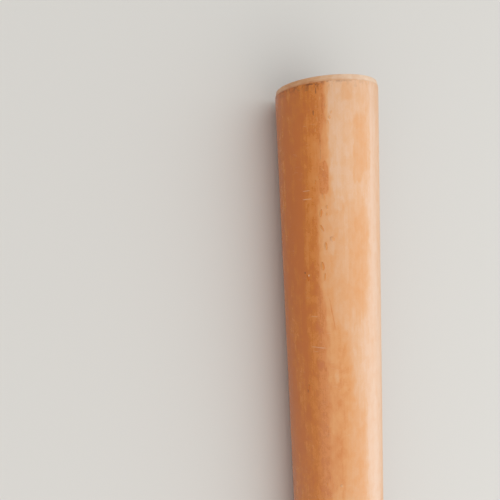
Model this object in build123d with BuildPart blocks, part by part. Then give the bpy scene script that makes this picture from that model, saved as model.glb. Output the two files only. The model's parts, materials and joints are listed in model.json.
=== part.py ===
from build123d import *
import os

# Plain-ended underground drain pipe, one extruded tube of terracotta PVC-U.
# It lies along X with Z up, and its origin is on its axis, halfway along.
# Both ends are spigots: sawn square, then bevelled outside so that they
# enter the rubber ring of a push-fit socket without catching on it.

# Driving dimensions, in millimetres and degrees.
LENGTH = 3000.0  # stock length, from sawn face to sawn face
OUTSIDE_DIAMETER = 110.0  # the size that its sockets and couplers are made for
WALL = 3.2  # thickness of the tube
BEVEL_LENGTH = 6.0  # length of each spigot's bevel, along the outside wall
BEVEL_ANGLE = 15.0  # slope of the bevel to the outside wall
BORE_EDGE_BREAK = 0.4  # burr scraped off the bore's two rims after sawing

# Sizes that follow from them.
OUTSIDE_RADIUS = OUTSIDE_DIAMETER / 2
BORE_RADIUS = OUTSIDE_RADIUS - WALL


def at_radius(faces_or_edges, radius):
    """Those of the round faces or edges that have this radius."""
    tolerance = WALL / 100
    return faces_or_edges.filter_by(lambda shape: abs(shape.radius - radius) < tolerance)


with BuildPart() as pipe:
    # The ring that the die and its mandrel give, drawn out to the stock length.
    with BuildSketch(Plane.YZ.offset(-LENGTH / 2)) as die_ring:
        Circle(OUTSIDE_RADIUS)
        Circle(BORE_RADIUS, mode=Mode.SUBTRACT)
    extrude(amount=LENGTH)

    # Each sawn face gets its bevel outside and its broken edge at the bore.
    for end in (0, -1):
        sawn_face = pipe.faces().sort_by(Axis.X)[end]
        bore_rim = at_radius(sawn_face.edges(), BORE_RADIUS)
        chamfer(bore_rim, length=BORE_EDGE_BREAK)

        walls = pipe.faces().filter_by(GeomType.CYLINDER)
        outside_wall = at_radius(walls, OUTSIDE_RADIUS)[0]
        outside_rim = outside_wall.edges().filter_by(GeomType.CIRCLE).sort_by(Axis.X)[end]
        chamfer(outside_rim, length=BEVEL_LENGTH, angle=BEVEL_ANGLE, reference=outside_wall)

pipe.part.label = "pipe"

os.makedirs("parts", exist_ok=True)
export_step(pipe.part, "parts/pipe.step")
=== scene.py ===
import json
from math import atan2, cos, degrees, hypot, pi, radians, sin, tan
from random import Random
import bpy
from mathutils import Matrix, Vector


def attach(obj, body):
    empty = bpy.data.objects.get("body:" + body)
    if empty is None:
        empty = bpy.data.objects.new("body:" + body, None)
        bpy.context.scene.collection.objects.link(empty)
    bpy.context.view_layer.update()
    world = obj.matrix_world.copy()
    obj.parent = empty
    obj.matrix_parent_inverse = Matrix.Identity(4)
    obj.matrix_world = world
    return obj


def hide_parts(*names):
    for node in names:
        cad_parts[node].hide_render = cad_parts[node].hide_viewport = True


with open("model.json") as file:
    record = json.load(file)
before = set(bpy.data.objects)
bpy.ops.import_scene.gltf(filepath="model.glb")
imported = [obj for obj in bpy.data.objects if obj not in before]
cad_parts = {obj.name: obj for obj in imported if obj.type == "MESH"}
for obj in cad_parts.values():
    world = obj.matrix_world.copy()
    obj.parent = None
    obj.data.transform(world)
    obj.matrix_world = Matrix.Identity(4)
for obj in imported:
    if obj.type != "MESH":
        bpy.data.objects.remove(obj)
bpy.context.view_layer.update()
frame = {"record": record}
record = frame["record"]
mounts = {mount["name"]: mount for mount in record["mounts"]}

# The camera stands above the pipe's left end and a little to its front, and looks
# steeply down. It is held upright, so the pipe's own up points to the picture's right.
CAMERA_PAST_END = 0.1102  # how far in from the left end the camera stands, metres
CAMERA_TO_AXIS = 0.4548
CAMERA_ROUND = -39.53  # degrees from the top, towards the front
CAMERA_TURN = (-6.14, -28.23, 86.23)  # degrees about X, then Y, then Z
LENS_MM = 28.08
SENSOR_MM = 36.0

LEFT_END = mounts["left_end"]["pos_m"][0]
RIGHT_END = mounts["right_end"]["pos_m"][0]

bpy.ops.object.select_all(action="DESELECT")
bpy.ops.object.camera_add(
    location=(
        LEFT_END + CAMERA_PAST_END,
        CAMERA_TO_AXIS * sin(radians(CAMERA_ROUND)),
        CAMERA_TO_AXIS * cos(radians(CAMERA_ROUND)),
    ),
    rotation=[radians(turn) for turn in CAMERA_TURN],
)
camera = bpy.context.object
camera.data.sensor_width = SENSOR_MM
camera.data.lens = LENS_MM
camera.data.clip_start = 0.01
bpy.context.scene.camera = camera
bpy.context.scene.view_settings.view_transform = "Standard"


# The studio: a pale floor that the pipe lies on and that runs out into a pale backdrop,
# one wide soft lamp overhead, whose near edge slants across the wall's gloss, and an even
# surround that fills the shadows.
FLOOR_COLOUR = "#D6D4CF"
FLOOR_ROUGHNESS = 0.9
FLOOR_SIZE = 12.0
FLOOR_FADE = (1.75, 2.55)  # metres from the pipe's middle, where the floor runs out
BACKDROP_COLOUR = "#E0DED8"
LAMP_HEIGHT = 1.6
LAMP_EDGE = (-1.6, -2.6)  # the middle of its near edge, metres
LAMP_TURN = -50.0  # degrees about Z
LAMP_LENGTH = 14.0
LAMP_WIDTH = 16.0
LAMP_RADIANCE = 0.96
SURROUND_COLOUR = "#FFFFFF"
SURROUND_STRENGTH = 0.2

OUTSIDE_RADIUS = mounts["left_spigot"]["dims"]["r_mm"] / 1000


def linear(hex_colour):
    """A colour written in sRGB hex, as the linear red, green, blue and alpha of a shader."""
    channels = [int(hex_colour[i:i + 2], 16) / 255 for i in (1, 3, 5)]
    return [c / 12.92 if c <= 0.04045 else ((c + 0.055) / 1.055) ** 2.4 for c in channels] + [1.0]


def add_node(tree, kind, settings=None, inputs=None, stops=()):
    """Adds a node with its settings, its inputs and, on a colour ramp, its stops.

    Each input is a value, a socket, or a node whose output it takes. Each stop is a
    position, and a colour in hex or a grey from 0 to 1.
    """
    node = tree.nodes.new("ShaderNode" + kind)
    for name, value in (settings or {}).items():
        setattr(node, name, value)
    in_use = [socket for socket in node.inputs if socket.enabled]
    for name, value in (inputs or {}).items():
        socket = in_use[name] if isinstance(name, int) else next(s for s in in_use if s.name == name)
        if isinstance(value, bpy.types.Node):
            value = next(output for output in value.outputs if output.enabled)
        if isinstance(value, bpy.types.NodeSocket):
            tree.links.new(value, socket)
        else:
            socket.default_value = value
    for index, (position, shade) in enumerate(stops):
        elements = node.color_ramp.elements
        stop = elements[index] if index < 2 else elements.new(position)
        stop.position = position
        stop.color = linear(shade) if isinstance(shade, str) else (shade, shade, shade, 1.0)
    return node


def new_material(name):
    """An empty node material and the shader that its surface output takes."""
    material = bpy.data.materials.new(name)
    material.use_nodes = True
    material.node_tree.nodes.clear()
    shader = add_node(material.node_tree, "BsdfPrincipled")
    add_node(material.node_tree, "OutputMaterial", {}, {"Surface": shader})
    return material, material.node_tree, shader


bpy.ops.object.select_all(action="DESELECT")
bpy.ops.mesh.primitive_plane_add(size=FLOOR_SIZE, location=(0, 0, -OUTSIDE_RADIUS))
floor = bpy.context.object
floor.name = "floor"
floor_paint, tree, shader = new_material("floor_paint")
shader.inputs["Base Color"].default_value = linear(FLOOR_COLOUR)
shader.inputs["Roughness"].default_value = FLOOR_ROUGHNESS
from_middle = add_node(
    tree, "VectorMath", {"operation": "LENGTH"}, {0: add_node(tree, "TexCoord").outputs["Object"]},
)
faded = add_node(
    tree, "MapRange", {"interpolation_type": "SMOOTHSTEP"},
    {"Value": from_middle, "From Min": FLOOR_FADE[0], "From Max": FLOOR_FADE[1]},
)
surface = add_node(tree, "MixShader", {}, {0: faded, 1: shader, 2: add_node(tree, "BsdfTransparent")})
tree.links.new(surface.outputs["Shader"], tree.nodes["Material Output"].inputs["Surface"])
floor.data.materials.append(floor_paint)

bpy.ops.object.light_add(
    type="AREA",
    location=(
        LAMP_EDGE[0] - LAMP_WIDTH / 2 * sin(radians(LAMP_TURN)),
        LAMP_EDGE[1] + LAMP_WIDTH / 2 * cos(radians(LAMP_TURN)),
        LAMP_HEIGHT,
    ),
    rotation=(0, 0, radians(LAMP_TURN)),
)
lamp = bpy.context.object
lamp.name = "overhead_softbox"
lamp.data.shape = "RECTANGLE"
lamp.data.size = LAMP_LENGTH
lamp.data.size_y = LAMP_WIDTH
lamp.data.energy = LAMP_RADIANCE * pi * LAMP_LENGTH * LAMP_WIDTH

world = bpy.data.worlds.new("surround")
bpy.context.scene.world = world
world.use_nodes = True
tree = world.node_tree
tree.nodes.clear()
surround = add_node(
    tree, "Background", {}, {"Color": linear(SURROUND_COLOUR), "Strength": SURROUND_STRENGTH},
)
backdrop = add_node(tree, "Background", {}, {"Color": linear(BACKDROP_COLOUR)})
rays = add_node(tree, "LightPath").outputs
seen = add_node(
    tree, "Math", {"operation": "MAXIMUM"}, {0: rays["Is Camera Ray"], 1: rays["Is Glossy Ray"]},
)
seen = add_node(tree, "Math", {"operation": "MAXIMUM"}, {0: seen, 1: rays["Is Transmission Ray"]})
background = add_node(tree, "MixShader", {}, {0: seen, 1: surround, 2: backdrop})
add_node(tree, "OutputWorld", {}, {"Surface": background})


# The pipe is one extruded tube of terracotta PVC-U. Its ends are sawn square and then
# bevelled by a cutter, and the rims and crests are a little worn from being handled.
BORE_RADIUS = mounts["bore"]["dims"]["r_mm"] / 1000
CREST = mounts["right_spigot"]["pos_m"][0]  # where the bevel starts on the outside wall
BORE_END = mounts["bore"]["dims"]["length_mm"] / 2000
EDGE_BREAK = RIGHT_END - BORE_END
BEVEL_ANGLE = 15.0  # degrees
BEVEL_SLOPE = tan(radians(BEVEL_ANGLE))
BEVEL_RINGS = (0.0, 0.0010, 0.0025)  # metres in from the sawn face
FACETS = 288  # round the pipe
SAME_PLACE = 1e-6  # metres, under which two vertices are one
ON_RING = 1e-5  # metres, how near a vertex lies to the ring that it is on
SMOOTH_UNDER = 40  # degrees between two faces, under which they are shaded as one
CREST_WEAR = 0.0006
RIM_WEAR = 0.0003
NICKS = 9  # at each end
NICK_WIDTHS = (1.5, 4.0)  # degrees
NICK_DEPTHS = (0.0001, 0.0005)


def bevel_radius(inwards):
    """Radius of the bevel, so far in from the sawn face."""
    return OUTSIDE_RADIUS - (RIGHT_END - CREST - inwards) * BEVEL_SLOPE


# The wall's section, from the bore's left rim over the outside to its right rim and back.
left_bevel = [(LEFT_END + inwards, bevel_radius(inwards)) for inwards in BEVEL_RINGS]
right_bevel = [(-x, radius) for x, radius in reversed(left_bevel)]
section = [
    (-BORE_END, BORE_RADIUS),
    (LEFT_END, BORE_RADIUS + EDGE_BREAK),
    *left_bevel,
    (-CREST, OUTSIDE_RADIUS),
    (CREST, OUTSIDE_RADIUS),
    *right_bevel,
    (RIGHT_END, BORE_RADIUS + EDGE_BREAK),
    (BORE_END, BORE_RADIUS),
    (-BORE_END, BORE_RADIUS),
]

bpy.ops.object.select_all(action="DESELECT")
bpy.ops.mesh.primitive_circle_add(
    vertices=FACETS, radius=BORE_RADIUS, location=(-BORE_END, 0, 0), rotation=(0, radians(90), 0),
)
pipe = bpy.context.object
pipe.name = "pipe_tube"
bpy.ops.object.transform_apply(location=True, rotation=True, scale=True)
bpy.ops.object.mode_set(mode="EDIT")
bpy.ops.mesh.select_all(action="SELECT")
for (x, radius), (next_x, next_radius) in zip(section, section[1:]):
    bpy.ops.mesh.extrude_edges_move(TRANSFORM_OT_translate={"value": (next_x - x, 0, 0)})
    growth = next_radius / radius
    bpy.ops.transform.resize(value=(1, growth, growth), center_override=(next_x, 0, 0))
bpy.ops.mesh.select_all(action="SELECT")
bpy.ops.mesh.remove_doubles(threshold=SAME_PLACE)
bpy.ops.mesh.normals_make_consistent(inside=False)
bpy.ops.mesh.select_all(action="DESELECT")
bpy.ops.mesh.select_mode(type="EDGE")
bpy.ops.object.mode_set(mode="OBJECT")


def round_ring(tube, x, radius, width):
    """Rounds the ring edges that stand at x with this radius, by the width that wear took."""
    for edge in tube.data.edges:
        ends = [tube.data.vertices[index].co for index in edge.vertices]
        off_place = max(abs(abs(end.x) - x) for end in ends)
        off_radius = max(abs(hypot(end.y, end.z) - radius) for end in ends)
        edge.select = max(off_place, off_radius) < ON_RING
    bpy.ops.object.mode_set(mode="EDIT")
    bpy.ops.mesh.bevel(offset=width, offset_type="OFFSET", segments=3, affect="EDGES")
    bpy.ops.mesh.select_all(action="DESELECT")
    bpy.ops.object.mode_set(mode="OBJECT")


round_ring(pipe, CREST, OUTSIDE_RADIUS, CREST_WEAR)
round_ring(pipe, RIGHT_END, bevel_radius(0), RIM_WEAR)

# Nicks: short dips in the outer rim, where the end has been knocked.
handling = Random(7)
for side in (-1, 1):
    for _ in range(NICKS):
        centre = handling.uniform(-180, 180)
        half_width = handling.uniform(*NICK_WIDTHS) / 2
        depth = handling.uniform(*NICK_DEPTHS)
        for vertex in pipe.data.vertices:
            inwards = RIGHT_END - side * vertex.co.x
            if inwards > BEVEL_RINGS[1] / 2 or hypot(vertex.co.y, vertex.co.z) < bevel_radius(0) - RIM_WEAR:
                continue
            away = (degrees(atan2(vertex.co.y, vertex.co.z)) - centre + 180) % 360 - 180
            dip = depth * max(0.0, 1 - (away / half_width) ** 2)
            vertex.co.x -= side * dip
            vertex.co.yz = vertex.co.yz * (1 - dip / bevel_radius(0))

bpy.ops.object.shade_smooth_by_angle(angle=radians(SMOOTH_UNDER))
weighting = pipe.modifiers.new("weighting", "WEIGHTED_NORMAL")
weighting.keep_sharp = True
bpy.ops.object.modifier_apply(modifier=weighting.name)

# The plastic is one compound all through. Only its surface differs: smooth from the die
# on the wall and from its mandrel in the bore, and rough from the saw and the cutter.
IOR_PVC = 1.54
SUNNY_SIDE = 12.0  # degrees round from the top, where the sun has bleached the pipe most and the painted sky sheen is strongest
NOISE_SPREAD = (0.3, 0.7)  # nearly all that the noise node gives lies between these


def places_on_tube(tree):
    """Where a point of the tube is, by name: in metres, and shade in half turns off the sunny side."""
    point = add_node(tree, "TexCoord").outputs["Object"]
    axes = add_node(tree, "SeparateXYZ", {}, {"Vector": point})
    turn = add_node(tree, "Math", {"operation": "ARCTAN2"}, {0: axes.outputs["Y"], 1: axes.outputs["Z"]})
    along = add_node(tree, "Math", {"operation": "SUBTRACT"}, {0: axes.outputs["X"], 1: LEFT_END})
    around = add_node(tree, "Math", {"operation": "MULTIPLY"}, {0: turn, 1: OUTSIDE_RADIUS})
    unrolled = add_node(tree, "CombineXYZ", {}, {"X": along, "Y": around})
    off_middle = add_node(tree, "Math", {"operation": "ABSOLUTE"}, {0: axes.outputs["X"]})
    inwards = add_node(tree, "Math", {"operation": "SUBTRACT"}, {0: RIGHT_END, 1: off_middle})
    off_sun = add_node(tree, "Math", {"operation": "SUBTRACT"}, {0: turn, 1: radians(SUNNY_SIDE)})
    wrapped = add_node(tree, "Math", {"operation": "WRAP"}, {0: off_sun, 1: pi, 2: -pi})
    from_sun = add_node(tree, "Math", {"operation": "ABSOLUTE"}, {0: wrapped})
    shade = add_node(tree, "Math", {"operation": "DIVIDE"}, {0: from_sun, 1: pi})
    return {"point": point, "along": along, "unrolled": unrolled, "inwards": inwards, "shade": shade}


def grain(tree, place, size, detail=2.0):
    """Noise from about -1 to 1, in spots of this size in metres, along the pipe and across it."""
    along, across = size
    scale = (1 / along, 1 / across, 1 / across)
    stretched = add_node(tree, "Mapping", {}, {"Vector": place, "Scale": scale})
    noise = add_node(tree, "TexNoise", {}, {"Vector": stretched, "Scale": 1.0, "Detail": detail})
    return add_node(
        tree, "MapRange", {"clamp": False},
        {
            "Value": noise, "From Min": NOISE_SPREAD[0], "From Max": NOISE_SPREAD[1],
            "To Min": -1.0, "To Max": 1.0,
        },
    )


def mark(tree, unrolled, along_mm, degrees_round, edge_mm, fray_mm=0.0, fray=0.0, lean=0.0):
    """1 inside a rounded patch of the unrolled wall and 0 outside, leaning by so many degrees.

    Its sides fade over about edge_mm and its ends in proportion, and fray moves the sides by
    about fray_mm. Reach is made of squared places, so at the rim it grows twice as fast as
    the place does.
    """
    low = Vector((along_mm[0] / 1000, radians(degrees_round[0]) * OUTSIDE_RADIUS, -1))
    high = Vector((along_mm[1] / 1000, radians(degrees_round[1]) * OUTSIDE_RADIUS, 1))
    half_size = (high - low) / 2
    half_width_mm = 1000 * min(half_size.xy)
    local = add_node(
        tree, "Mapping", {"vector_type": "TEXTURE"},
        {
            "Vector": unrolled, "Location": (low + high) / 2,
            "Rotation": (0, 0, radians(lean)), "Scale": half_size,
        },
    )
    squared = add_node(tree, "VectorMath", {"operation": "MULTIPLY"}, {0: local, 1: local})
    reach = add_node(tree, "VectorMath", {"operation": "LENGTH"}, {0: squared}).outputs["Value"]
    frayed = add_node(
        tree, "Math", {"operation": "MULTIPLY_ADD"}, {0: fray, 1: 2 * fray_mm / half_width_mm, 2: reach},
    )
    return add_node(
        tree, "MapRange", {"interpolation_type": "SMOOTHSTEP"},
        {
            "Value": frayed, "From Min": 1 - edge_mm / half_width_mm,
            "From Max": 1 + edge_mm / half_width_mm, "To Min": 1.0, "To Max": 0.0,
        },
    )


# The outside wall is satin from the die. Where it faced the sky in storage it has
# chalked to a pale peach, with a painted sky sheen laid over it, and its low side holds
# painted shade. Films of rain water lie over the chalk: they bring back the terracotta
# and a sharper gloss, and dry off with ragged edges.
CHALKING_AND_SHEEN = (  # how chalky a place is, and its colour; the palest carry painted sky sheen, the darkest painted shade
    (0.0, "#C66C25"), (0.08, "#CE7828"), (0.15, "#D58034"),
    (0.35, "#E09957"), (0.7, "#E3AF82"), (1.0, "#E8C3A6"),
)
CHALK_AND_SHEEN_BY_SHADE = (  # degrees off the sunny side, and how chalky the wall is there, with painted sky sheen high and painted shade low
    (0, 0.94), (12, 0.88), (22, 0.75), (36, 0.58),
    (50, 0.42), (58, 0.27), (66, 0.12), (80, 0.0),
)
DAMP_ROUGHNESS = 0.26
CHALK_ROUGHNESS = 0.40

# Bare chalk and films, in the order that they lie: mm from the left end, degrees round
# from the top, how chalky the place is, painted sky sheen included, then how wide its edge
# is and how far it frays in mm, and how it leans.
CHALK_SHEEN_AND_FILMS = (
    ((-30, 124), (-37.5, 11), 0.74, 3.5, 1.75, 0),
    ((-20, 56), (-60, -41), 0.08, 4.0, 1.5, 0),
    ((118, 240), (-50, -36), 0.43, 5.0, 1.5, 0),
    ((81, 113), (-49, -39), 0.12, 0.75, 0.5, 0),
    ((8, 24), (-24, -12), 0.62, 3.0, 1.25, 0),
    ((38, 94), (-12, 5), 0.56, 3.0, 1.5, 0),
    ((86, 103), (-13, -2), 0.58, 2.0, 1.25, 0),
    ((126, 246), (-34, 5), 0.53, 12.0, 2.0, -2),
    ((258, 440), (-50, -14), 0.32, 12.0, 2.5, 4.5),
    ((318, 440), (-51, -31), 0.19, 9.0, 2.0, 0),
    ((212, 470), (-68, -45.5), 0.08, 7.0, 2.0, 0),
    ((338, 480), (-24, -2), 0.48, 12.0, 2.0, 0),
    ((134, 147), (-39, -29), 0.58, 2.0, 1.0, 15),
    ((180, 194), (-34, -20), 0.58, 2.0, 1.0, -12),
    ((119, 130), (-34, -26), 0.66, 1.75, 1.0, 12),
    ((149, 158), (-30, -24.5), 0.62, 1.5, 0.75, 0),
    ((156, 173), (-40, -34), 0.60, 2.0, 1.0, -10),
    ((112, 204), (-24, -20), 0.66, 1.5, 0.6, 0),
    ((221, 251), (-39.8, -38.4), 0.22, 0.6, 0.15, 9),
    ((238, 254), (-26, -21), 0.64, 1.75, 0.6, 0),
    ((230, 258), (-17.5, -13.5), 0.66, 1.5, 0.5, 0),
    ((298, 313), (-38, -34), 0.46, 1.5, 0.5, 4),
    ((342, 372), (-45, -31), 0.31, 5.0, 1.5, 0),
)
FIRST_SCATTERED = 0.42  # metres along, past which chance places the films
SCATTER_BLEND = 0.1  # metres over which these set in
SCATTERED_FILM = 0.32  # how much of the chalk they take away
SCATTERED_EDGE = (-0.05, 0.50)  # of their noise, from bare chalk to film

# The patterns on the wall: how long and how wide their spots are, in metres.
STREAK_SIZE = (0.120, 0.010)
FILM_SIZE = (0.110, 0.027)
DRIP_SIZE = (0.011, 0.0030)
POOL_SIZE = (0.014, 0.008)
DIE_LINE_SIZE = (0.300, 0.0016)
CLOUD_SIZE = (0.010, 0.006)
FLECK_SIZE = (0.0014, 0.0012)
RUB_SIZE = (0.0006, 0.009)
RUBBED_SIZE = (0.030, 0.012)
DIRT_SIZE = (0.0035, 0.0030)
SWELL_SIZE = (0.090, 0.016)
RIPPLE_SIZE = (0.030, 0.006)

# How much chalk they add and take away, and how far they stand out of the wall in metres.
STREAK_AMOUNT = 0.07
POOL_AMOUNT = 0.03
POOL_EDGE = (-0.35, 0.15)  # of its noise, from one side of a pool's edge to the other
DIE_LINE_AMOUNT = 0.03
CLOUD_AMOUNT = 0.06
FLECK_AMOUNT = 0.03
SWELL_HEIGHT = 0.00008
RIPPLE_HEIGHT = 0.000012
DIE_LINE_HEIGHT = 0.000004
FLECK_HEIGHT = 0.000003
CHALK_HEIGHT = -0.00004  # below the films
SCRATCH_HEIGHT = -0.00004

# Knocks and rubs across the wall, from handling, and one painted highlight: mm from the left
# end, degrees round from the top, and how they lean.
SCRATCHES_AND_GLINT = (
    ((108.6, 109.0), (-67, -59), 2),
    ((117.0, 117.5), (-67.5, -57.5), 3),
    # This pale stroke is a painted highlight, the glint of the bead that stands here.
    ((195.2, 200.2), (-65.0, -63.7), -30),
    ((240.3, 240.7), (-63, -55), 3),
    ((274.0, 274.5), (-63, -47), 0),
    ((279.0, 279.3), (-62, -56), -2),
)
SCRATCH_AND_GLINT_COLOUR = "#E6B994"
SCRATCH_EDGE_MM = 0.1
RUB_STRENGTH = 0.4
RUB_EDGE = (0.6, 1.1)  # of their noise, from plain wall to rub
RUBBED_EDGE = (0.1, 0.7)  # and from where nothing has rubbed to where it has

# Grime from storage and handling, in specks and strokes: mm from the left end, degrees
# round from the top, and how strong it is.
SMUDGES = (
    ((6.2, 7.4), (-60, -52), 0.80),
    ((7, 8.6), (-49.6, -48.4), 0.70),
    ((10, 16), (-49.6, -48.6), 0.65),
    ((7.5, 12.5), (-60.5, -56), 0.35),
    ((9.5, 12.5), (-10, -6.5), 0.14),
    ((31.5, 36), (-52.9, -51.7), 0.55),
    ((60, 84), (-46.6, -46.0), 0.22),
    ((193, 195), (-69, -67.5), 0.70),
    ((319, 324), (-69.5, -68), 0.75),
    ((326, 330), (-71, -69.8), 0.60),
)
SMUDGE_EDGE_MM = 0.4
SMUDGE_FRAY_MM = 0.25

# Grime that lies all round the ends: in patches and in a line along the crest. Near the ends the wall is
# also a little darker.
GRIME_COLOUR = "#4E2109"
DIRT_EDGE = (-0.7, 1.1)  # of its noise, from clean to dirty
GRIME_REACH = 0.016  # metres in from the end, past which there are no patches
GRIME_STRENGTH = 0.6
GRIMY_SIDE = (36, 66)  # degrees off the sunny side, from the washed top to the grimy side
GRIME_ON_TOP = 0.28  # as a share of that on the side
CREST_LINE = 0.0022  # metres that the dark line along the crest reaches, to each side
CREST_STRENGTH = (0.08, 0.45)  # where the dirt is thinnest and thickest
CREST_WASHED = (12, 36)  # degrees off the sunny side, from the rained-off line to the full one
CREST_ON_TOP = 0.35  # as a share of that on the side
DARKER_END_REACH = 0.060  # metres in from the end, over which the wall grows darker towards the end
DARKER_END_STRENGTH = 0.055

wall_plastic, tree, shader = new_material("weathered_pvc")
shader.inputs["IOR"].default_value = IOR_PVC
places = places_on_tube(tree)
point = places["point"]
unrolled = places["unrolled"]

# Chalk by shade: real chalking, with a painted sky sheen on the sunny side and painted shade on the low
# side.
chalk_and_sheen_stops = [(angle / 180, left) for angle, left in CHALK_AND_SHEEN_BY_SHADE]
chalk_and_sheen = add_node(tree, "ValToRGB", {}, {"Fac": places["shade"]}, chalk_and_sheen_stops)
streaks = grain(tree, point, STREAK_SIZE, detail=3.0)
chalk_and_sheen = add_node(tree, "Math", {"operation": "MULTIPLY_ADD"}, {0: streaks, 1: STREAK_AMOUNT, 2: chalk_and_sheen})
film_noise = grain(tree, point, FILM_SIZE, detail=4.0)
films = add_node(
    tree, "MapRange", {"interpolation_type": "SMOOTHSTEP"},
    {"Value": film_noise, "From Min": SCATTERED_EDGE[0], "From Max": SCATTERED_EDGE[1]},
)
by_chance = add_node(
    tree, "MapRange", {"interpolation_type": "SMOOTHSTEP"},
    {
        "Value": places["along"], "From Min": FIRST_SCATTERED,
        "From Max": FIRST_SCATTERED + SCATTER_BLEND, "To Max": SCATTERED_FILM,
    },
)
films = add_node(tree, "Math", {"operation": "MULTIPLY"}, {0: films, 1: by_chance})
chalk_and_sheen = add_node(tree, "Mix", {}, {"Factor": films, "A": chalk_and_sheen, "B": 0.0})
drips = grain(tree, point, DRIP_SIZE, detail=5.0)
for along_mm, degrees_round, chalk_and_sheen_level, edge_mm, fray_mm, lean in CHALK_SHEEN_AND_FILMS:
    patch = mark(tree, unrolled, along_mm, degrees_round, edge_mm, fray_mm, drips, lean)
    chalk_and_sheen = add_node(tree, "Mix", {}, {"Factor": patch, "A": chalk_and_sheen, "B": chalk_and_sheen_level})

# Finer unevenness: dried pools, lines drawn by the die, clouds of chalk and its grain.
pools = grain(tree, point, POOL_SIZE, detail=3.0)
pools = add_node(
    tree, "MapRange", {"interpolation_type": "SMOOTHSTEP"},
    {"Value": pools, "From Min": POOL_EDGE[0], "From Max": POOL_EDGE[1], "To Min": -1.0, "To Max": 1.0},
)
die_lines = grain(tree, point, DIE_LINE_SIZE)
clouds = grain(tree, point, CLOUD_SIZE, detail=5.0)
flecks = grain(tree, point, FLECK_SIZE)
for unevenness, amount in (
    (pools, POOL_AMOUNT), (die_lines, DIE_LINE_AMOUNT), (clouds, CLOUD_AMOUNT), (flecks, FLECK_AMOUNT),
):
    chalk_and_sheen = add_node(tree, "Math", {"operation": "MULTIPLY_ADD"}, {0: unevenness, 1: amount, 2: chalk_and_sheen})
colour = add_node(tree, "ValToRGB", {}, {"Fac": chalk_and_sheen}, CHALKING_AND_SHEEN)

rubs = add_node(
    tree, "MapRange", {"interpolation_type": "SMOOTHSTEP"},
    {
        "Value": grain(tree, point, RUB_SIZE), "From Min": RUB_EDGE[0], "From Max": RUB_EDGE[1],
        "To Max": RUB_STRENGTH,
    },
)
rubbed = add_node(
    tree, "MapRange", {"interpolation_type": "SMOOTHSTEP"},
    {"Value": grain(tree, point, RUBBED_SIZE), "From Min": RUBBED_EDGE[0], "From Max": RUBBED_EDGE[1]},
)
scratched_and_glint = add_node(tree, "Math", {"operation": "MULTIPLY"}, {0: rubs, 1: rubbed})
# Pale scratches and rubs, and one painted highlight on a bead.
for along_mm, degrees_round, lean in SCRATCHES_AND_GLINT:
    pale_mark = mark(tree, unrolled, along_mm, degrees_round, SCRATCH_EDGE_MM, lean=lean)
    scratched_and_glint = add_node(tree, "Math", {"operation": "MAXIMUM"}, {0: scratched_and_glint, 1: pale_mark})
colour = add_node(
    tree, "Mix", {"data_type": "RGBA"}, {"Factor": scratched_and_glint, "A": colour, "B": linear(SCRATCH_AND_GLINT_COLOUR)},
)

near_end = add_node(
    tree, "MapRange", {"interpolation_type": "SMOOTHSTEP"},
    {"Value": places["inwards"], "From Min": GRIME_REACH, "From Max": RIGHT_END - CREST},
)
low_side = add_node(
    tree, "MapRange", {"interpolation_type": "SMOOTHSTEP"},
    {
        "Value": places["shade"], "From Min": GRIMY_SIDE[0] / 180, "From Max": GRIMY_SIDE[1] / 180,
        "To Min": GRIME_ON_TOP,
    },
)
dirt = grain(tree, point, DIRT_SIZE, detail=5.0)
grime = add_node(
    tree, "MapRange", {"interpolation_type": "SMOOTHSTEP"},
    {"Value": dirt, "From Min": DIRT_EDGE[0], "From Max": DIRT_EDGE[1], "To Max": GRIME_STRENGTH},
)
grime = add_node(tree, "Math", {"operation": "MULTIPLY"}, {0: grime, 1: near_end})
grime = add_node(tree, "Math", {"operation": "MULTIPLY"}, {0: grime, 1: low_side})
crest_line = add_node(
    tree, "MapRange", {"interpolation_type": "SMOOTHSTEP"},
    {
        "Value": places["inwards"], "From Min": RIGHT_END - CREST + CREST_LINE,
        "From Max": RIGHT_END - CREST + CREST_LINE / 3,
    },
)
crest_grime = add_node(
    tree, "MapRange", {"interpolation_type": "SMOOTHSTEP"},
    {
        "Value": dirt, "From Min": DIRT_EDGE[0], "From Max": DIRT_EDGE[1],
        "To Min": CREST_STRENGTH[0], "To Max": CREST_STRENGTH[1],
    },
)
rained_off = add_node(
    tree, "MapRange", {"interpolation_type": "SMOOTHSTEP"},
    {
        "Value": places["shade"], "From Min": CREST_WASHED[0] / 180, "From Max": CREST_WASHED[1] / 180,
        "To Min": CREST_ON_TOP,
    },
)
crest_grime = add_node(tree, "Math", {"operation": "MULTIPLY"}, {0: crest_grime, 1: crest_line})
crest_grime = add_node(tree, "Math", {"operation": "MULTIPLY"}, {0: crest_grime, 1: rained_off})
grime = add_node(tree, "Math", {"operation": "MAXIMUM"}, {0: grime, 1: crest_grime})
# The wall is a little darker towards the end.
darker_end = add_node(
    tree, "MapRange", {"interpolation_type": "SMOOTHSTEP"},
    {
        "Value": places["inwards"], "From Min": DARKER_END_REACH, "From Max": RIGHT_END - CREST,
        "To Max": DARKER_END_STRENGTH,
    },
)
grime = add_node(tree, "Math", {"operation": "MAXIMUM"}, {0: grime, 1: darker_end})
for along_mm, degrees_round, strength in SMUDGES:
    smudge = mark(tree, unrolled, along_mm, degrees_round, SMUDGE_EDGE_MM, SMUDGE_FRAY_MM, dirt)
    smudge = add_node(tree, "Math", {"operation": "MULTIPLY"}, {0: smudge, 1: strength})
    grime = add_node(tree, "Math", {"operation": "MAXIMUM"}, {0: grime, 1: smudge})
colour = add_node(
    tree, "Mix", {"data_type": "RGBA"}, {"Factor": grime, "A": colour, "B": linear(GRIME_COLOUR)},
)
tree.links.new(colour.outputs["Result"], shader.inputs["Base Color"])

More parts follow.
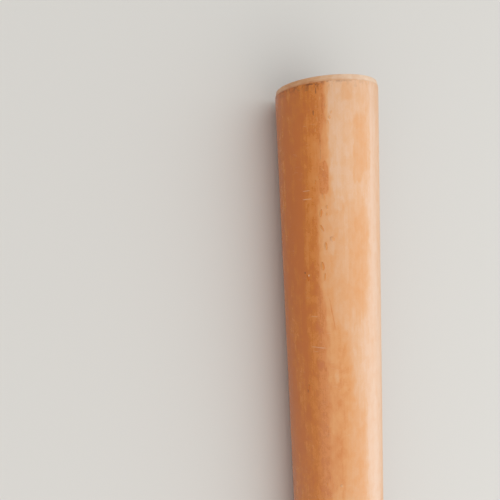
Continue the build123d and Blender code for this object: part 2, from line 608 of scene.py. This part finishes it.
roughness = add_node(
    tree, "MapRange", {}, {"Value": chalk_and_sheen, "To Min": DAMP_ROUGHNESS, "To Max": CHALK_ROUGHNESS},
)
tree.links.new(roughness.outputs["Result"], shader.inputs["Roughness"])

# The relief: long swells, ripples, die lines, grain, the films' edges and the scratches.
swells = grain(tree, point, SWELL_SIZE)
relief = add_node(tree, "Math", {"operation": "MULTIPLY"}, {0: swells, 1: SWELL_HEIGHT})
ripples = grain(tree, point, RIPPLE_SIZE)
for shape, height in (
    (ripples, RIPPLE_HEIGHT), (die_lines, DIE_LINE_HEIGHT), (flecks, FLECK_HEIGHT),
    (chalk_and_sheen, CHALK_HEIGHT), (scratched_and_glint, SCRATCH_HEIGHT),
):
    relief = add_node(tree, "Math", {"operation": "MULTIPLY_ADD"}, {0: shape, 1: height, 2: relief})
bump = add_node(tree, "Bump", {}, {"Height": relief, "Distance": 1.0})
tree.links.new(bump.outputs["Normal"], shader.inputs["Normal"])
pipe.data.materials.append(wall_plastic)


# The bore keeps the plastic's own terracotta, since no sun has reached it. The mandrel
# left it smooth, with faint lines along it.
BORE_COLOURS = ("#C06D3B", "#CB7844")
BORE_ROUGHNESS = 0.28
MANDREL_LINE_SIZE = (0.400, 0.0020)
MANDREL_LINE_HEIGHT = 0.000006

bore_plastic, tree, shader = new_material("bore_pvc")
shader.inputs["IOR"].default_value = IOR_PVC
shader.inputs["Roughness"].default_value = BORE_ROUGHNESS
mandrel_lines = grain(tree, places_on_tube(tree)["point"], MANDREL_LINE_SIZE)
colour = add_node(
    tree, "Mix", {"data_type": "RGBA"},
    {"Factor": mandrel_lines, "A": linear(BORE_COLOURS[0]), "B": linear(BORE_COLOURS[1])},
)
tree.links.new(colour.outputs["Result"], shader.inputs["Base Color"])
relief = add_node(tree, "Math", {"operation": "MULTIPLY"}, {0: mandrel_lines, 1: MANDREL_LINE_HEIGHT})
bump = add_node(tree, "Bump", {}, {"Height": relief, "Distance": 1.0})
tree.links.new(bump.outputs["Normal"], shader.inputs["Normal"])
pipe.data.materials.append(bore_plastic)


# The bevel was turned off the wall by a cutter, which left a dull surface with fine
# rings round it, and the sun has bleached it more than the wall; on the sunny side its
# paleness also holds a painted sky sheen. Dirt has caught in the rings, most of it beside the crest.
BEVEL_BLEACHING_AND_SHEEN = ((0.0, "#BE7844"), (0.4, "#D8A67B"), (1.0, "#F0D6BC"))
BEVEL_ROUGHNESS = 0.5
BLEACHED_AND_SHEEN_BY_SUN = 0.55  # how much of the bleaching, with its painted sky sheen, follows the sun,
BLEACHED_ALL_ROUND = 0.27  # and how much is the same all round, away from the crest
RING_SIZE = (0.0006, 0.060)
RING_AMOUNT = 0.10
RING_HEIGHT = 0.00002
BLOTCH_SIZE = (0.005, 0.007)
BLOTCH_AMOUNT = 0.12

bevel_plastic, tree, shader = new_material("bevelled_pvc")
shader.inputs["IOR"].default_value = IOR_PVC
shader.inputs["Roughness"].default_value = BEVEL_ROUGHNESS
places = places_on_tube(tree)
# Bleaching by shade: real sun bleaching, with a painted sky sheen on the sunny side.
bleaching_and_sheen = add_node(tree, "ValToRGB", {}, {"Fac": places["shade"]}, chalk_and_sheen_stops)
clean = add_node(
    tree, "MapRange", {"interpolation_type": "SMOOTHSTEP"},
    {
        "Value": places["inwards"], "From Min": RIGHT_END - CREST,
        "From Max": RIGHT_END - CREST - CREST_LINE, "To Min": 0.0, "To Max": BLEACHED_ALL_ROUND,
    },
)
bleaching_and_sheen = add_node(
    tree, "Math", {"operation": "MULTIPLY_ADD"}, {0: bleaching_and_sheen, 1: BLEACHED_AND_SHEEN_BY_SUN, 2: clean},
)
rings = grain(tree, places["point"], RING_SIZE)
blotches = grain(tree, places["point"], BLOTCH_SIZE, detail=4.0)
for unevenness, amount in ((rings, RING_AMOUNT), (blotches, BLOTCH_AMOUNT)):
    bleaching_and_sheen = add_node(
        tree, "Math", {"operation": "MULTIPLY_ADD"}, {0: unevenness, 1: amount, 2: bleaching_and_sheen},
    )
colour = add_node(tree, "ValToRGB", {}, {"Fac": bleaching_and_sheen}, BEVEL_BLEACHING_AND_SHEEN)
tree.links.new(colour.outputs["Color"], shader.inputs["Base Color"])
relief = add_node(tree, "Math", {"operation": "MULTIPLY"}, {0: rings, 1: RING_HEIGHT})
bump = add_node(tree, "Bump", {}, {"Height": relief, "Distance": 1.0})
tree.links.new(bump.outputs["Normal"], shader.inputs["Normal"])
pipe.data.materials.append(bevel_plastic)


# The sawn faces are where a saw cut the pipe to length. They are matt and a little torn,
# with the saw's strokes straight across them.
SAWN_COLOURS = ((0.0, "#C98B60"), (1.0, "#DDAF8A"))
SAWN_ROUGHNESS = 0.7
STROKE_SPACING = 0.0005
STROKE_LENGTH = 0.020
STROKE_LEAN = 20.0  # degrees
STROKE_HEIGHT = 0.0002

sawn_plastic, tree, shader = new_material("sawn_pvc")
shader.inputs["IOR"].default_value = IOR_PVC
shader.inputs["Roughness"].default_value = SAWN_ROUGHNESS
point = places_on_tube(tree)["point"]
leaning = add_node(tree, "Mapping", {}, {"Vector": point, "Rotation": (radians(STROKE_LEAN), 0, 0)})
stroke_scale = (1 / STROKE_LENGTH, 1 / STROKE_SPACING, 1 / STROKE_LENGTH)
strokes = add_node(tree, "Mapping", {}, {"Vector": leaning, "Scale": stroke_scale})
strokes = add_node(tree, "TexNoise", {}, {"Vector": strokes, "Scale": 1.0, "Detail": 3.0})
colour = add_node(tree, "ValToRGB", {}, {"Fac": strokes}, SAWN_COLOURS)
tree.links.new(colour.outputs["Color"], shader.inputs["Base Color"])
relief = add_node(tree, "Math", {"operation": "MULTIPLY"}, {0: strokes, 1: STROKE_HEIGHT})
bump = add_node(tree, "Bump", {}, {"Height": relief, "Distance": 1.0})
tree.links.new(bump.outputs["Normal"], shader.inputs["Normal"])
pipe.data.materials.append(sawn_plastic)

# Each face takes its surface from where it lies.
WALL, BORE, BEVEL, SAWN = range(4)  # in the order that the materials were added
SQUARE_ON = 0.9  # how much of a sawn face's normal points along the pipe, at least
for face in pipe.data.polygons:
    inwards = RIGHT_END - abs(face.center.x)
    from_axis = hypot(face.center.y, face.center.z)
    if inwards > RIGHT_END - CREST - CREST_WEAR / 2:
        face.material_index = WALL if from_axis > (BORE_RADIUS + OUTSIDE_RADIUS) / 2 else BORE
    elif abs(face.normal.x) > SQUARE_ON:
        face.material_index = SAWN
    else:
        face.material_index = BEVEL if from_axis > BORE_RADIUS + EDGE_BREAK else BORE

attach(pipe, "root")
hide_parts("pipe")


# Rain stands on the sides of the pipe in low beads, each sagging a little downhill.
# A bead's colour is painted light: a painted glow in its middle and on its downhill flank,
# painted shade on its uphill flank, and a painted dark rim round its foot, terracotta in
# tone, over the chalk and its painted sky sheen. The water's own sharp gloss lies on top.
IOR_WATER = 1.33
WATER_ROUGHNESS = 0.06
BEAD_RISE = 0.17  # of a bead's width
BEAD_SAG = 0.3  # of half its width
SAG_REACH = 1.2  # of half its width, round its top
BEAD_TOP = 0.99  # of the sphere's radius, over which only its pole lies
BEAD_PAINTED_GLOW = 1.15  # painted glow: how much paler than the chalk a bead's middle looks
BEAD_PAINTED_LIGHT_AND_SHADE = 0.6  # painted light and shade: how much paler its downhill flank looks, and how much darker its uphill one
BEAD_PAINTED_RIM = (0.5, 0.67)  # from the foot to where its painted dark rim ends, of the way from pole to pole
# how much painted shade darkens the rim round a bead's foot
BEAD_RIM_PAINTED_SHADE = 0.45

# Where the beads near the left end are: mm along and degrees round to the middle,
# length and width in mm, and how the bead leans in degrees.
BEADS = (
    (20.8, -45.0, 3.4, 1.4, -5),
    (27.9, -39.3, 3.2, 1.6, 20),
    (34.8, -34.5, 3.0, 1.5, -15),
    (39.4, -36.0, 3.4, 1.8, 20),
    (44.0, -37.8, 4.0, 2.0, 10),
    (39.6, -48.2, 4.4, 1.6, 10),
    (50.2, -50.1, 4.4, 1.6, 5),
    (88.5, -44.0, 3.0, 1.6, 30),
    (96.0, -49.0, 2.6, 1.4, 0),
    (100.4, -52.2, 4.0, 2.0, -9),
    (115.2, -44.1, 6.8, 2.0, 13),
    (125.8, -41.0, 4.2, 2.4, 12),
    (131.8, -47.5, 7.8, 3.0, -9),
    (133.0, -41.8, 3.0, 1.8, 0),
    (146.8, -46.7, 7.6, 2.2, 27),
    (157.8, -36.2, 5.2, 4.4, 35),
    (165.2, -43.2, 8.2, 2.8, 4),
    (186.0, -47.2, 9.0, 3.6, 8),
    (197.4, -45.5, 8.4, 2.0, -5),
    (199.2, -64.6, 6.6, 3.6, 20),
    (323.3, -68.0, 7.6, 3.2, 5),
)

# Past those, chance places the beads.
SCATTERED_BEADS = 130
SCATTERED_LENGTHS_MM = (2.0, 6.5)
SCATTERED_WIDTHS = (0.4, 0.9)  # of the length
SCATTERED_DEGREES = (30, 72)  # from the top, to either side
SCATTERED_LEAN = 25  # degrees, either way, at most
CLEAR_OF_END_MM = 20

bpy.ops.object.select_all(action="DESELECT")
bpy.ops.mesh.primitive_uv_sphere_add(segments=16, ring_count=8, radius=1)
bead = bpy.context.object
bpy.ops.object.mode_set(mode="EDIT")
bpy.ops.mesh.select_mode(type="VERT")
bpy.ops.object.mode_set(mode="OBJECT")
for vertex in bead.data.vertices:
    vertex.select = vertex.co.z > BEAD_TOP
bpy.ops.object.mode_set(mode="EDIT")
bpy.ops.transform.translate(
    value=(0, -BEAD_SAG, 0), use_proportional_edit=True,
    proportional_edit_falloff="SMOOTH", proportional_size=SAG_REACH,
)
bpy.ops.object.mode_set(mode="OBJECT")

weather = Random(19)
scattered = []
for _ in range(SCATTERED_BEADS):
    length_mm = weather.uniform(*SCATTERED_LENGTHS_MM)
    scattered.append((
        weather.uniform(1000 * FIRST_SCATTERED, 1000 * (RIGHT_END - LEFT_END) - CLEAR_OF_END_MM),
        weather.choice((-1, 1)) * weather.uniform(*SCATTERED_DEGREES),
        length_mm,
        length_mm * weather.uniform(*SCATTERED_WIDTHS),
        weather.uniform(-SCATTERED_LEAN, SCATTERED_LEAN),
    ))

beads = []
for along_mm, degrees_round, length_mm, width_mm, lean in (*BEADS, *scattered):
    copied = bead.copy()
    copied.data = bead.data.copy()
    bpy.context.collection.objects.link(copied)
    downhill_turn = 0 if degrees_round < 0 else 180
    copied.rotation_mode = "ZYX"
    copied.rotation_euler = (radians(-degrees_round), 0, radians(lean + downhill_turn))
    copied.scale = (length_mm / 2000, width_mm / 2000, BEAD_RISE * width_mm / 1000)
    copied.location = (
        LEFT_END + along_mm / 1000,
        OUTSIDE_RADIUS * sin(radians(degrees_round)),
        OUTSIDE_RADIUS * cos(radians(degrees_round)),
    )
    beads.append(copied)
bpy.data.objects.remove(bead)
bpy.ops.object.select_all(action="DESELECT")
for copied in beads:
    copied.select_set(True)
bpy.context.view_layer.objects.active = beads[0]
bpy.ops.object.join()
rain_beads = bpy.context.object
rain_beads.name = "rain_beads"
bpy.ops.object.transform_apply(location=True, rotation=True, scale=True)
bpy.ops.object.shade_smooth()

standing_water, tree, shader = new_material("standing_water")
shader.inputs["IOR"].default_value = IOR_WATER
shader.inputs["Roughness"].default_value = WATER_ROUGHNESS
places = places_on_tube(tree)
chalk_and_sheen = add_node(tree, "ValToRGB", {}, {"Fac": places["shade"]}, chalk_and_sheen_stops)
# Painted light: the middle is painted paler, the downhill flank lighter, the uphill flank darker and the
# rim darker.
showing = add_node(tree, "Math", {"operation": "MULTIPLY"}, {0: chalk_and_sheen, 1: BEAD_PAINTED_GLOW})
off_axis = add_node(tree, "VectorMath", {"operation": "MULTIPLY"}, {0: places["point"], 1: (0, 1, 1)})
outwards = add_node(tree, "VectorMath", {"operation": "NORMALIZE"}, {0: off_axis})
facing = add_node(tree, "TexCoord").outputs["Normal"]
tilt = add_node(tree, "VectorMath", {"operation": "SUBTRACT"}, {0: facing, 1: outwards})
uphill = add_node(tree, "SeparateXYZ", {}, {"Vector": tilt}).outputs["Z"]
showing = add_node(tree, "Math", {"operation": "MULTIPLY_ADD"}, {0: uphill, 1: -BEAD_PAINTED_LIGHT_AND_SHADE, 2: showing})
from_foot = add_node(tree, "SeparateXYZ", {}, {"Vector": add_node(tree, "UVMap")})
painted_rim_shade = add_node(
    tree, "MapRange", {"interpolation_type": "SMOOTHSTEP"},
    {
        "Value": from_foot.outputs["Y"], "From Min": BEAD_PAINTED_RIM[0], "From Max": BEAD_PAINTED_RIM[1],
        "To Min": BEAD_RIM_PAINTED_SHADE, "To Max": 0.0,
    },
)
showing = add_node(tree, "Math", {"operation": "SUBTRACT"}, {0: showing, 1: painted_rim_shade})
colour = add_node(tree, "ValToRGB", {}, {"Fac": showing}, CHALKING_AND_SHEEN)
tree.links.new(colour.outputs["Color"], shader.inputs["Base Color"])
rain_beads.data.materials.append(standing_water)

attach(rain_beads, "root")
